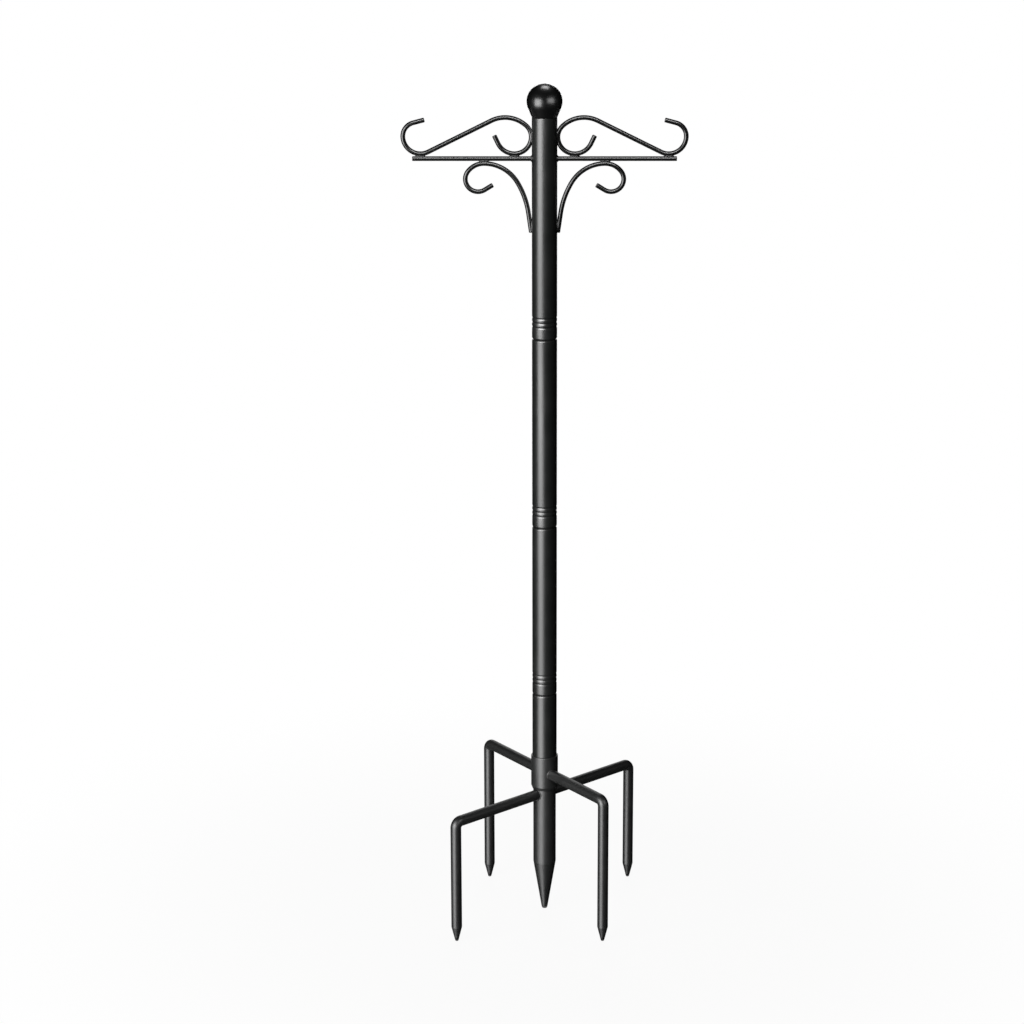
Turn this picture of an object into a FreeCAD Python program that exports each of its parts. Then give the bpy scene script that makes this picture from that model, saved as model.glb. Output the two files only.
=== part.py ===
import FreeCAD, Part
import math
import os
import Sketcher

# Bird feeder pole: a two-armed garden pole in four push-together tubes on a five-point ground base.
# Millimetres, +Z up. The origin is on the pole's axis, level with the five points that enter the soil.
# The arms lie in the XZ plane.

# Driving sizes: name, value, what it measures
SIZES = (
    ("tube_dia", 32.0, "outside diameter of the four pole tubes"),
    ("tube_wall", 1.5, "wall of the pole tubes"),
    ("lip_depth", 2.0, "how far a rolled-in tube mouth stands in from the bore"),
    ("lip_height", 4.0, "height of a rolled-in tube mouth"),
    ("rim_round", 2.5, "outer radius of a rolled-in tube mouth"),
    ("lower_tube_length", 101.3, "lowest tube, from its seat in the collar"),
    ("lower_mid_length", 228.1, "second tube"),
    ("upper_mid_length", 247.6, "third tube"),
    ("arm_tube_length", 280.3, "top tube, which carries the arms"),
    ("groove_count", 3, "rolled grooves that hold each coupler"),
    ("groove_pitch", 5.76, "spacing of the rolled grooves"),
    ("groove_rise", 16.0, "lowest rolled groove above the tube's lower end"),
    ("groove_depth", 0.6, "depth of a rolled groove"),
    ("groove_round", 3.0, "section radius of a rolled groove"),
    ("bead_round", 1.0, "section radius of the bead that the groove raises in the bore"),
    ("coupler_plug_length", 40.0, "coupler length held in the upper tube"),
    ("coupler_spigot_length", 34.0, "coupler length that drops into the tube below"),
    ("coupler_bore", 16.0, "bore through a coupler"),
    ("lead_in", 1.5, "bevel on the leading edge of each spigot"),
    ("bush_length", 38.0, "socket bush in the upper end of a tube"),
    ("press_clearance", 0.03, "radial clearance of a pressed or crimped piece"),
    ("slide_clearance", 0.08, "radial clearance of a piece that slides or turns"),
    ("spike_step", 1.0, "how much smaller the spike tube's radius is than the pole's"),
    ("spike_wall", 1.5, "wall of the spike tube"),
    ("spike_point_length", 69.0, "cone at the foot of the spike"),
    ("spike_tip_dia", 7.0, "blunt end of the spike"),
    ("spike_tip_round", 2.0, "rounding of the blunt end"),
    ("spike_stem_length", 25.0, "stem of the cone inside the spike tube"),
    ("prong_dia", 14.0, "rod of the four prongs"),
    ("prong_bend", 8.0, "bend of the prongs, at the rod's axis"),
    ("prong_point_length", 20.0, "turned point of a prong"),
    ("prong_tip_dia", 4.0, "blunt end of a prong"),
    ("prong_tip_round", 1.2, "rounding of the blunt end"),
    ("lower_prong_height", 166.0, "axis of the lower prong bars above the tips"),
    ("lower_prong_reach", 156.5, "lower legs from the pole's axis"),
    ("lower_prong_heading", 42.8, "direction of the first lower prong, degrees from +X"),
    ("lower_prong_inset", 4.0, "inner end of a lower prong from the pole's axis"),
    ("upper_prong_rise", 22.5, "axis of the upper prong bars above the collar's lower end"),
    ("upper_prong_reach", 130.6, "upper legs from the pole's axis"),
    ("upper_prong_heading", -54.5, "direction of the first upper prong, degrees from +X"),
    ("collar_height", 46.5, "swivel collar"),
    ("collar_wall", 1.5, "collar wall round the pole tube"),
    ("collar_rest_gap", 0.3, "play between the collar and the lower prongs"),
    ("collar_bevel_depth", 1.8, "bevel at the collar's lower end, radially"),
    ("collar_bevel_height", 4.5, "bevel at the collar's lower end, along the axis"),
    ("collar_rim_bevel", 0.5, "bevel of the collar's upper rim"),
    ("socket_clearance", 0.25, "radial play of the pole tube in the collar"),
    ("seat_depth", 15.0, "how deep the pole tube stands in the collar"),
    ("seat_flange", 3.0, "flange of the base spigot that carries the pole"),
    ("base_spigot_length", 32.0, "base spigot inside the lowest tube"),
    ("base_plug_length", 22.0, "base spigot inside the spike tube"),
    ("bar_dia", 6.0, "crossbar rod"),
    ("bar_drop", 51.4, "crossbar axis below the upper end of the top tube"),
    ("bar_overhang", 10.45, "crossbar end beyond the lowest point of the hook"),
    ("bar_end_bevel", 0.6, "bevel of the crossbar's ends"),
    ("rod_dia", 6.0, "rod of the scrolls and braces"),
    ("weld_gap", 0.1, "fit-up gap under each weld"),
    ("notch_depth", 2.4, "how deep a rod is notched where it is welded to the pole's side"),
    ("scroll_tail_length", 11.0, "straight tail inside the scroll"),
    ("scroll_tail_radius", 22.6, "bend between the tail and the crossbar"),
    ("scroll_tail_turn", 64.4, "bend between the tail and the crossbar, degrees"),
    ("scroll_radius", 21.0, "quarter of the scroll beside the pole"),
    ("shoulder_radius", 18.7, "first bend above the scroll"),
    ("shoulder_turn", 47.7, "first bend above the scroll, degrees"),
    ("crown_radius", 39.2, "wide bend over the top of the scroll"),
    ("arm_slope", 26.2, "fall of the straight stretch, degrees"),
    ("hook_radius", 21.7, "hook, from its foot to its outermost point"),
    ("hook_lip_radius", 17.3, "hook, above its outermost point"),
    ("hook_lip_turn", 75.3, "hook, above its outermost point, degrees"),
    ("hook_tip_length", 14.5, "straight tip of the hook"),
    ("brace_lean", 8.3, "lean of the brace's foot away from the pole, degrees"),
    ("brace_foot_length", 24.7, "straight foot of the brace"),
    ("brace_stem_radius", 105.0, "long bend of the brace"),
    ("brace_stem_turn", 22.6, "long bend of the brace, degrees"),
    ("brace_crown_radius", 48.7, "bend of the brace up to the crossbar"),
    ("brace_shoulder_radius", 25.1, "first, wide bend of the curl"),
    ("brace_shoulder_turn", 53.8, "first, wide bend of the curl, degrees"),
    ("brace_curl_radius", 15.8, "curl at the end of the brace"),
    ("brace_curl_turn", 157.4, "curl at the end of the brace, degrees"),
    ("brace_tip_length", 12.1, "straight tip of the curl"),
    ("ball_dia", 45.0, "finial ball"),
    ("ball_under_angle", 23.0, "where the ball runs out into its cone, degrees below its middle"),
    ("finial_plug_length", 24.0, "finial plug inside the top tube"),
    ("plug_rib_count", 3, "grip ribs round the finial plug"),
    ("plug_rib_pitch", 6.0, "spacing of the grip ribs"),
    ("plug_rib_rise", 5.0, "lowest grip rib above the plug's end"),
    ("plug_rib_height", 1.4, "how far a grip rib stands out"),
    ("plug_rib_width", 3.0, "foot of a grip rib along the plug"),
)

doc = FreeCAD.newDocument("bird_feeder_pole")
sheet = doc.addObject("Spreadsheet::Sheet", "sizes")
for row, (alias, size, meaning) in enumerate(SIZES, start=1):
    sheet.set(f"A{row}", meaning)
    sheet.set(f"B{row}", str(size))
    sheet.setAlias(f"B{row}", alias)
doc.recompute()

# Radii that several pieces share
TUBE_R = "sizes.tube_dia / 2"
BORE_R = f"({TUBE_R} - sizes.tube_wall)"
MOUTH_R = f"({BORE_R} - sizes.lip_depth)"
PLUG_R = f"({BORE_R} - sizes.press_clearance)"
SPIGOT_R = f"({MOUTH_R} - sizes.slide_clearance)"
SPIKE_R = f"({TUBE_R} - sizes.spike_step)"
SPIKE_BORE_R = f"({SPIKE_R} - sizes.spike_wall)"
SOCKET_R = f"({TUBE_R} + sizes.socket_clearance)"
COLLAR_R = f"({SOCKET_R} + sizes.collar_wall)"
PRONG_R = "sizes.prong_dia / 2"
BEAD_OUT = f"({BORE_R} - sizes.groove_depth + sizes.bead_round)"

# Heights above the points, from the ground up
COLLAR_FOOT = f"(sizes.lower_prong_height + {PRONG_R} + sizes.collar_rest_gap)"
UPPER_PRONG_HEIGHT = f"({COLLAR_FOOT} + sizes.upper_prong_rise)"
POLE_SEAT = f"({COLLAR_FOOT} + sizes.collar_height - sizes.seat_depth)"
SPIKE_TOP = f"({POLE_SEAT} - sizes.seat_flange)"
LOWER_JOINT = f"({POLE_SEAT} + sizes.lower_tube_length)"
MIDDLE_JOINT = f"({LOWER_JOINT} + sizes.lower_mid_length)"
UPPER_JOINT = f"({MIDDLE_JOINT} + sizes.upper_mid_length)"
POLE_TOP = f"({UPPER_JOINT} + sizes.arm_tube_length)"
BAR_HEIGHT = f"({POLE_TOP} - sizes.bar_drop)"

# The arms, from the pole's axis outwards and from the crossbar's axis upwards
ROD_R = "sizes.rod_dia / 2"
ROD_OFF_POLE = f"({TUBE_R} + {ROD_R} - sizes.notch_depth)"
NOTCH_R = f"({TUBE_R} + sizes.weld_gap)"
ROD_OFF_BAR = f"(sizes.bar_dia / 2 + {ROD_R} + sizes.weld_gap)"
CROWN_TURN = "(90 + sizes.arm_slope - sizes.shoulder_turn)"
CROWN_END_OUT = (f"({ROD_OFF_POLE} + sizes.shoulder_radius * (1 - cos(sizes.shoulder_turn))"
                 " + sizes.crown_radius * (cos(sizes.shoulder_turn) - cos(90 + sizes.arm_slope)))")
CROWN_END_UP = (f"({ROD_OFF_BAR} + sizes.scroll_radius + sizes.shoulder_radius * sin(sizes.shoulder_turn)"
                " + sizes.crown_radius * (sin(90 + sizes.arm_slope) - sin(sizes.shoulder_turn)))")
HOOK_START_UP = f"({ROD_OFF_BAR} + sizes.hook_radius * (1 - cos(sizes.arm_slope)))"
ARM_RUN = f"(({CROWN_END_UP} - {HOOK_START_UP}) / sin(sizes.arm_slope))"
HOOK_FOOT_OUT = (f"({CROWN_END_OUT} + {ARM_RUN} * cos(sizes.arm_slope)"
                 " + sizes.hook_radius * sin(sizes.arm_slope))")
TAIL_OUT = (f"({ROD_OFF_POLE} + sizes.scroll_radius + sizes.scroll_tail_radius * sin(sizes.scroll_tail_turn)"
            " + sizes.scroll_tail_length * cos(sizes.scroll_tail_turn))")
TAIL_UP = (f"({ROD_OFF_BAR} + sizes.scroll_tail_radius * (1 - cos(sizes.scroll_tail_turn))"
           " + sizes.scroll_tail_length * sin(sizes.scroll_tail_turn))")
STEM_LEAN = "(sizes.brace_lean + sizes.brace_stem_turn)"
BRACE_START_UP = (f"(0 - {ROD_OFF_BAR} - sizes.brace_foot_length * cos(sizes.brace_lean)"
                  f" - sizes.brace_stem_radius * (sin({STEM_LEAN}) - sin(sizes.brace_lean))"
                  f" - sizes.brace_crown_radius * (1 - sin({STEM_LEAN})))")

# How closely, in millimetres, an edge has to match the rim that it is looked up by
EDGE_MATCH = 1e-4

sub_parts = []


def number(expression):
    """The present value of an expression over the sheet."""
    return float(sheet.evalExpression(expression.replace("sizes.", "")))


def new_body(label, height=None, heading=None):
    """A sub-part, raised to a height and turned about the pole's axis."""
    body = doc.addObject("PartDesign::Body", label)
    body.Label = label
    if height:
        body.setExpression("Placement.Base.z", height)
    if heading:
        body.setExpression("Placement.Rotation.Angle", heading)
    sub_parts.append(body)
    return body


def new_sketch(body, plane):
    """A sketch on one of the body's origin planes."""
    sketch = body.newObject("Sketcher::SketchObject", "sketch")
    base = [feature for feature in body.Origin.OriginFeatures if feature.Role == plane][0]
    sketch.AttachmentSupport = [(base, "")]
    sketch.MapMode = "FlatFace"
    return sketch


def dimension(sketch, kind, where, expression):
    """A dimension of the sketch, tied to the sheet. Angles are set in radians and tied in degrees."""
    size = number(expression)
    if kind == "Angle":
        size = math.radians(size)
    index = sketch.addConstraint(Sketcher.Constraint(kind, *where, size))
    sketch.setExpression(f"Constraints[{index}]", expression)


def place_point(sketch, curve, point, across, up):
    """Tie a sketch point to the origin; a coordinate of None lies on the axis."""
    if across is None:
        sketch.addConstraint(Sketcher.Constraint("PointOnObject", curve, point, -2))
    else:
        dimension(sketch, "DistanceX", (-1, 1, curve, point), across)
    if up is None:
        sketch.addConstraint(Sketcher.Constraint("PointOnObject", curve, point, -1))
    else:
        dimension(sketch, "DistanceY", (-1, 1, curve, point), up)


def draw_circle(sketch, radius, across=None, up=None):
    """A circle with its centre tied to the origin."""
    centre = corner_points([(across, up)])[0]
    circle = Part.Circle(centre, FreeCAD.Vector(0, 0, 1), number(radius))
    curve = sketch.addGeometry(circle, False)
    if across is None and up is None:
        sketch.addConstraint(Sketcher.Constraint("Coincident", curve, 3, -1, 1))
    else:
        place_point(sketch, curve, 3, across, up)
    dimension(sketch, "Radius", (curve,), radius)


def corner_points(corners):
    """The present places of corners given as pairs of expressions."""
    return [FreeCAD.Vector(number(across or "0"), number(up or "0"), 0) for across, up in corners]


def draw_outline(sketch, corners):
    """A closed outline of straight edges through corners tied to the origin."""
    points = corner_points(corners)
    count = len(points)
    for index in range(count):
        sketch.addGeometry(Part.LineSegment(points[index], points[(index + 1) % count]), False)
    for index in range(count):
        following = (index + 1) % count
        sketch.addConstraint(Sketcher.Constraint("Coincident", index, 2, following, 1))
    for index, (across, up) in enumerate(corners):
        place_point(sketch, index, 1, across, up)


def turn(body, sketch, kind="PartDesign::Revolution"):
    """Turn a sketch about the body's own Z axis, to add or, as a groove, to cut."""
    feature = body.newObject(kind, "turning")
    feature.Profile = sketch
    feature.ReferenceAxis = (sketch, ["V_Axis"])
    feature.Angle = 360
    sketch.Visibility = False
    doc.recompute()
    return feature


def turned(body, corners):
    """A turned piece from its half section."""
    sketch = new_sketch(body, "XZ_Plane")
    draw_outline(sketch, corners)
    return turn(body, sketch)


def repeat_up(body, features, count, pitch):
    """Repeat features along the body's Z axis."""
    pattern = body.newObject("PartDesign::LinearPattern", "row")
    pattern.Originals = features
    pattern.Direction = (features[0].Profile[0], ["V_Axis"])
    pattern.setExpression("Length", f"{pitch} * ({count} - 1)")
    pattern.setExpression("Occurrences", count)
    body.Tip = pattern
    doc.recompute()


def bore_through(body, plane, radius, up=None):
    """A round hole right through the body, square to one of its origin planes."""
    sketch = new_sketch(body, plane)
    draw_circle(sketch, radius, up=up)
    pocket = body.newObject("PartDesign::Pocket", "hole")
    pocket.Profile = sketch
    pocket.Type = "ThroughAll"
    pocket.Midplane = True
    doc.recompute()


def round_rims(body, base, radius, rim_radius, levels):
    """Round the circular edges of a given radius at given heights in the body."""
    heights = [number(level) for level in levels]
    edges = []
    for index, edge in enumerate(base.Shape.Edges, start=1):
        if not isinstance(edge.Curve, Part.Circle):
            continue
        same_rim = abs(edge.Curve.Radius - number(rim_radius)) < EDGE_MATCH
        if same_rim and any(abs(edge.Curve.Center.z - height) < EDGE_MATCH for height in heights):
            edges.append(f"Edge{index}")
    fillet = body.newObject("PartDesign::Fillet", "rounding")
    fillet.Base = (base, edges)
    fillet.setExpression("Radius", radius)
    doc.recompute()


def bent_rod(body, radius, start, steps):
    """A round rod swept along straight runs and tangent bends in the XZ plane.

    It starts at a point with a run, which heads so many degrees up from +X. A step is ("run", length) or
    ("bend", radius, degrees, side), where the side is 1 for a bend to the left of the way along the rod and
    -1 for one to the right.
    """
    across, up, first_heading = start
    path = new_sketch(body, "XZ_Plane")
    here = FreeCAD.Vector(number(across), number(up), 0)
    axis = FreeCAD.Vector(0, 0, 1)
    ahead = FreeCAD.Rotation(axis, number(first_heading)).multVec(FreeCAD.Vector(1, 0, 0))
    leaving = None
    for step in steps:
        if step[0] == "run":
            there = here + ahead * number(step[1])
            curve = path.addGeometry(Part.LineSegment(here, there), False)
            entry, exit_point = 1, 2
        else:
            bend, degrees, side = number(step[1]), number(step[2]), step[3]
            to_centre = FreeCAD.Rotation(axis, 90 * side).multVec(ahead)
            centre = here + to_centre * bend
            swing = FreeCAD.Rotation(axis, degrees * side)
            halfway = FreeCAD.Rotation(axis, degrees * side / 2)
            there = centre + swing.multVec(here - centre)
            middle = centre + halfway.multVec(here - centre)
            curve = path.addGeometry(Part.Arc(here, middle, there), False)
            ahead = swing.multVec(ahead)
            entry, exit_point = (1, 2) if side > 0 else (2, 1)
        if leaving is None:
            place_point(path, curve, entry, across, up)
            dimension(path, "Angle", (curve,), first_heading)
        else:
            path.addConstraint(Sketcher.Constraint("Tangent", leaving[0], leaving[1], curve, entry))
        if step[0] == "run":
            dimension(path, "Distance", (curve,), step[1])
        else:
            dimension(path, "Radius", (curve,), step[1])
            dimension(path, "Angle", (curve,), step[2])
        leaving = (curve, exit_point)
        here = there
    section = body.newObject("Sketcher::SketchObject", "section")
    section.AttachmentSupport = [(path, "Edge1")]
    section.MapMode = "NormalToEdge"
    section.MapPathParameter = 0
    draw_circle(section, radius)
    sweep = body.newObject("PartDesign::AdditivePipe", "rod")
    sweep.Profile = section
    sweep.Spine = (path, [f"Edge{index + 1}" for index in range(len(steps))])
    doc.recompute()


# The four pole tubes, with what is crimped and pressed into them


def pole_tube(label, foot, length, lower_mouth, upper_mouth):
    """A pole tube. A rolled-in mouth has a rounded rim, and a lower mouth has rolled grooves above it."""
    body = new_body(label, foot)
    lower_r = MOUTH_R if lower_mouth else BORE_R
    corners = [(lower_r, None), (TUBE_R, None), (TUBE_R, length)]
    rims = []
    if upper_mouth:
        under_lip = f"{length} - sizes.lip_height"
        corners += [(MOUTH_R, length), (MOUTH_R, under_lip), (BORE_R, under_lip)]
        rims.append(length)
    else:
        corners += [(BORE_R, length)]
    if lower_mouth:
        corners += [(BORE_R, "sizes.lip_height"), (MOUTH_R, "sizes.lip_height")]
        rims.append("0")
    tube = turned(body, corners)
    round_rims(body, tube, "sizes.rim_round", TUBE_R, rims)
    if lower_mouth:
        bead_sketch = new_sketch(body, "XZ_Plane")
        draw_circle(bead_sketch, "sizes.bead_round", BEAD_OUT, "sizes.groove_rise")
        bead = turn(body, bead_sketch)
        groove_sketch = new_sketch(body, "XZ_Plane")
        groove_out = f"{TUBE_R} - sizes.groove_depth + sizes.groove_round"
        draw_circle(groove_sketch, "sizes.groove_round", groove_out, "sizes.groove_rise")
        groove = turn(body, groove_sketch, "PartDesign::Groove")
        repeat_up(body, [bead, groove], "sizes.groove_count", "sizes.groove_pitch")
    return body


def coupler(label, joint):
    """The stepped plug crimped into the foot of a tube, with the spigot that enters the tube below."""
    body = new_body(label, joint)
    bore_r = "sizes.coupler_bore / 2"
    foot = "0 - sizes.coupler_spigot_length"
    top = "sizes.lip_height + sizes.coupler_plug_length"
    turned(body, [
        (bore_r, foot),
        (f"{SPIGOT_R} - sizes.lead_in", foot),
        (SPIGOT_R, f"{foot} + sizes.lead_in"),
        (SPIGOT_R, "sizes.lip_height"),
        (PLUG_R, "sizes.lip_height"),
        (PLUG_R, top),
        (bore_r, top),
    ])
    groove_sketch = new_sketch(body, "XZ_Plane")
    groove_r = "sizes.bead_round + sizes.press_clearance"
    draw_circle(groove_sketch, groove_r, BEAD_OUT, "sizes.groove_rise")
    groove = turn(body, groove_sketch, "PartDesign::Groove")
    repeat_up(body, [groove], "sizes.groove_count", "sizes.groove_pitch")


def socket_bush(label, joint):
    """The bush pressed under the upper mouth of a tube, which guides the spigot."""
    body = new_body(label, joint)
    top = "0 - sizes.lip_height"
    foot = f"{top} - sizes.bush_length"
    turned(body, [(MOUTH_R, foot), (PLUG_R, foot), (PLUG_R, top), (MOUTH_R, top)])


pole_tube("lower_tube", POLE_SEAT, "sizes.lower_tube_length", False, True)
pole_tube("lower_mid_tube", LOWER_JOINT, "sizes.lower_mid_length", True, True)
pole_tube("upper_mid_tube", MIDDLE_JOINT, "sizes.upper_mid_length", True, True)
arm_tube = pole_tube("arm_tube", UPPER_JOINT, "sizes.arm_tube_length", True, False)
bar_level = "sizes.arm_tube_length - sizes.bar_drop"
bore_through(arm_tube, "YZ_Plane", "sizes.bar_dia / 2 + sizes.press_clearance", bar_level)

for upper, lower, joint_height in (("lower_mid", "lower", LOWER_JOINT),
                                   ("upper_mid", "lower_mid", MIDDLE_JOINT),
                                   ("arm", "upper_mid", UPPER_JOINT)):
    coupler(f"{upper}_coupler", joint_height)
    socket_bush(f"{lower}_socket_bush", joint_height)


# The ground base: spike, lower prongs fixed to it, and the collar that swivels with the upper prongs


def spike_tube():
    """The straight tube of the spike, drilled for the lower prongs."""
    body = new_body("spike_tube", heading="sizes.lower_prong_heading")
    turned(body, [
        (SPIKE_BORE_R, "sizes.spike_point_length"),
        (SPIKE_R, "sizes.spike_point_length"),
        (SPIKE_R, SPIKE_TOP),
        (SPIKE_BORE_R, SPIKE_TOP),
    ])
    bore_through(body, "YZ_Plane", f"{PRONG_R} + sizes.press_clearance", "sizes.lower_prong_height")


def spike_tip():
    """The turned cone, with a stem pressed into the spike tube."""
    body = new_body("spike_tip")
    tip_r = "sizes.spike_tip_dia / 2"
    stem_r = f"{SPIKE_BORE_R} - sizes.press_clearance"
    stem_top = "sizes.spike_point_length + sizes.spike_stem_length"
    cone = turned(body, [
        (None, None),
        (tip_r, None),
        (SPIKE_R, "sizes.spike_point_length"),
        (stem_r, "sizes.spike_point_length"),
        (stem_r, stem_top),
        (None, stem_top),
    ])
    round_rims(body, cone, "sizes.spike_tip_round", tip_r, ["0"])


def base_spigot():
    """The flanged plug in the top of the spike tube, over which the lowest tube drops."""
    body = new_body("base_spigot", SPIKE_TOP)
    bore_r = "sizes.coupler_bore / 2"
    plug_r = f"{SPIKE_BORE_R} - sizes.press_clearance"
    spigot_r = f"{BORE_R} - sizes.slide_clearance"
    foot = "0 - sizes.base_plug_length"
    top = "sizes.seat_flange + sizes.base_spigot_length"
    turned(body, [
        (bore_r, foot),
        (plug_r, foot),
        (plug_r, None),
        (TUBE_R, None),
        (TUBE_R, "sizes.seat_flange"),
        (spigot_r, "sizes.seat_flange"),
        (spigot_r, f"{top} - sizes.lead_in"),
        (f"{spigot_r} - sizes.lead_in", top),
        (bore_r, top),
    ])


def swivel_collar():
    """The collar that turns on the spike tube and takes the foot of the pole in its socket."""
    body = new_body("swivel_collar", COLLAR_FOOT)
    running_r = f"{SPIKE_R} + sizes.slide_clearance"
    floor = f"{SPIKE_TOP} - {COLLAR_FOOT} - sizes.collar_rest_gap"
    rim = "sizes.collar_height"
    under_rim = "sizes.collar_height - sizes.collar_rim_bevel"
    turned(body, [
        (running_r, None),
        (f"{COLLAR_R} - sizes.collar_bevel_depth", None),
        (COLLAR_R, "sizes.collar_bevel_height"),
        (COLLAR_R, under_rim),
        (f"{COLLAR_R} - sizes.collar_rim_bevel", rim),
        (f"{SOCKET_R} + sizes.collar_rim_bevel", rim),
        (SOCKET_R, under_rim),
        (SOCKET_R, floor),
        (running_r, floor),
    ])


def prong(label, heading, reach, bar_height, inner_end):
    """A bent prong: a turned point, a leg, a bend and a bar that runs in to the pole's axis."""
    body = new_body(label, heading=heading)
    leg = f"{bar_height} - sizes.prong_bend - sizes.prong_point_length"
    bar = f"{reach} - sizes.prong_bend - {inner_end}"
    bent_rod(body, PRONG_R, (reach, "sizes.prong_point_length", "90"), [
        ("run", leg),
        ("bend", "sizes.prong_bend", "90", 1),
        ("run", bar),
    ])
    tip_r = "sizes.prong_tip_dia / 2"
    sketch = new_sketch(body, "XZ_Plane")
    draw_outline(sketch, [
        (reach, None),
        (f"{reach} + {tip_r}", None),
        (f"{reach} + {PRONG_R}", "sizes.prong_point_length"),
        (reach, "sizes.prong_point_length"),
    ])
    point = body.newObject("PartDesign::Revolution", "point")
    point.Profile = sketch
    point.ReferenceAxis = (sketch, ["Edge4"])
    point.Angle = 360
    doc.recompute()
    round_rims(body, point, "sizes.prong_tip_round", tip_r, ["0"])
    return body


spike_tube()
spike_tip()
base_spigot()
swivel_collar()
for side, half_turn in (("right", "0"), ("left", "180")):
    prong(f"lower_prong_{side}", f"sizes.lower_prong_heading + {half_turn}", "sizes.lower_prong_reach",
          "sizes.lower_prong_height", "sizes.lower_prong_inset")
    upper_prong = prong(f"upper_prong_{side}", f"sizes.upper_prong_heading + {half_turn}",
                        "sizes.upper_prong_reach", UPPER_PRONG_HEIGHT, "0")
    bore_through(upper_prong, "XY_Plane", COLLAR_R)


# The arms: one crossbar through the tube, and on each side a hooked scroll above it and a brace below


def crossbar():
    """The straight rod through the top tube."""
    body = new_body("crossbar", BAR_HEIGHT)
    sketch = new_sketch(body, "YZ_Plane")
    draw_circle(sketch, "sizes.bar_dia / 2")
    rod = body.newObject("PartDesign::Pad", "rod")
    rod.Profile = sketch
    rod.Midplane = True
    rod.setExpression("Length", f"2 * ({HOOK_FOOT_OUT} + sizes.bar_overhang)")
    doc.recompute()
    ends = body.newObject("PartDesign::Chamfer", "ends")
    ends.Base = (rod, [f"Edge{index}" for index, edge in enumerate(rod.Shape.Edges, start=1)
                       if isinstance(edge.Curve, Part.Circle)])
    ends.setExpression("Size", "sizes.bar_end_bevel")


def hook_scroll(label, heading):
    """The rod that curls beside the pole, runs over the scroll, falls straight and ends in the hook."""
    body = new_body(label, BAR_HEIGHT, heading)
    bent_rod(body, ROD_R, (TAIL_OUT, TAIL_UP, "sizes.scroll_tail_turn - 180"), [
        ("run", "sizes.scroll_tail_length"),
        ("bend", "sizes.scroll_tail_radius", "sizes.scroll_tail_turn", -1),
        ("bend", "sizes.scroll_radius", "90", -1),
        ("bend", "sizes.shoulder_radius", "sizes.shoulder_turn", -1),
        ("bend", "sizes.crown_radius", CROWN_TURN, -1),
        ("run", ARM_RUN),
        ("bend", "sizes.hook_radius", "90 + sizes.arm_slope", 1),
        ("bend", "sizes.hook_lip_radius", "sizes.hook_lip_turn", 1),
        ("run", "sizes.hook_tip_length"),
    ])
    bore_through(body, "XY_Plane", NOTCH_R)


def brace_scroll(label, heading):
    """The rod that leans away from the pole, bends out to the crossbar and curls under it."""
    body = new_body(label, BAR_HEIGHT, heading)
    bent_rod(body, ROD_R, (ROD_OFF_POLE, BRACE_START_UP, "90 - sizes.brace_lean"), [
        ("run", "sizes.brace_foot_length"),
        ("bend", "sizes.brace_stem_radius", "sizes.brace_stem_turn", -1),
        ("bend", "sizes.brace_crown_radius", f"90 - {STEM_LEAN}", -1),
        ("bend", "sizes.brace_shoulder_radius", "sizes.brace_shoulder_turn", -1),
        ("bend", "sizes.brace_curl_radius", "sizes.brace_curl_turn", -1),
        ("run", "sizes.brace_tip_length"),
    ])
    bore_through(body, "XY_Plane", NOTCH_R)


crossbar()
for side, half_turn in (("right", None), ("left", "180")):
    hook_scroll(f"{side}_hook_scroll", half_turn)
    brace_scroll(f"{side}_brace_scroll", half_turn)


# The ball on top, with a ribbed plug pushed into the tube


def finial_ball():
    """The ball runs out into a cone that meets the tube's rim; ribs on the plug grip the bore."""
    body = new_body("finial_ball", POLE_TOP)
    ball_r = "sizes.ball_dia / 2"
    under = "sizes.ball_under_angle"
    centre_up = f"(({ball_r} - {TUBE_R} * cos({under})) / sin({under}))"
    core_r = f"({PLUG_R} - sizes.plug_rib_height)"
    foot = "0 - sizes.finial_plug_length"
    corners = [
        (None, f"{centre_up} + {ball_r}"),
        (None, foot),
        (core_r, foot),
        (core_r, None),
        (TUBE_R, None),
        (f"{ball_r} * cos({under})", f"{centre_up} - {ball_r} * sin({under})"),
    ]
    points = corner_points(corners)
    sketch = new_sketch(body, "XZ_Plane")
    for start, end in zip(points, points[1:]):
        sketch.addGeometry(Part.LineSegment(start, end), False)
    centre = FreeCAD.Vector(0, number(centre_up), 0)
    bulge = centre + FreeCAD.Vector(number(ball_r), 0, 0)
    arc = sketch.addGeometry(Part.Arc(points[-1], bulge, points[0]), False)
    for index in range(arc):
        sketch.addConstraint(Sketcher.Constraint("Coincident", index, 2, index + 1, 1))
    sketch.addConstraint(Sketcher.Constraint("Coincident", arc, 2, 0, 1))
    for index, (across, up) in enumerate(corners[1:], start=1):
        place_point(sketch, index, 1, across, up)
    sketch.addConstraint(Sketcher.Constraint("PointOnObject", 0, 1, -2))
    sketch.addConstraint(Sketcher.Constraint("PointOnObject", arc, 3, -2))
    dimension(sketch, "Radius", (arc,), ball_r)
    turn(body, sketch)
    rib_sketch = new_sketch(body, "XZ_Plane")
    rib_foot = f"{foot} + sizes.plug_rib_rise"
    rib_root = f"{core_r} - sizes.plug_rib_height"
    draw_outline(rib_sketch, [
        (rib_root, rib_foot),
        (core_r, rib_foot),
        (PLUG_R, f"{rib_foot} + sizes.plug_rib_width"),
        (rib_root, f"{rib_foot} + sizes.plug_rib_width"),
    ])
    rib = turn(body, rib_sketch)
    repeat_up(body, [rib], "sizes.plug_rib_count", "sizes.plug_rib_pitch")


finial_ball()

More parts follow.
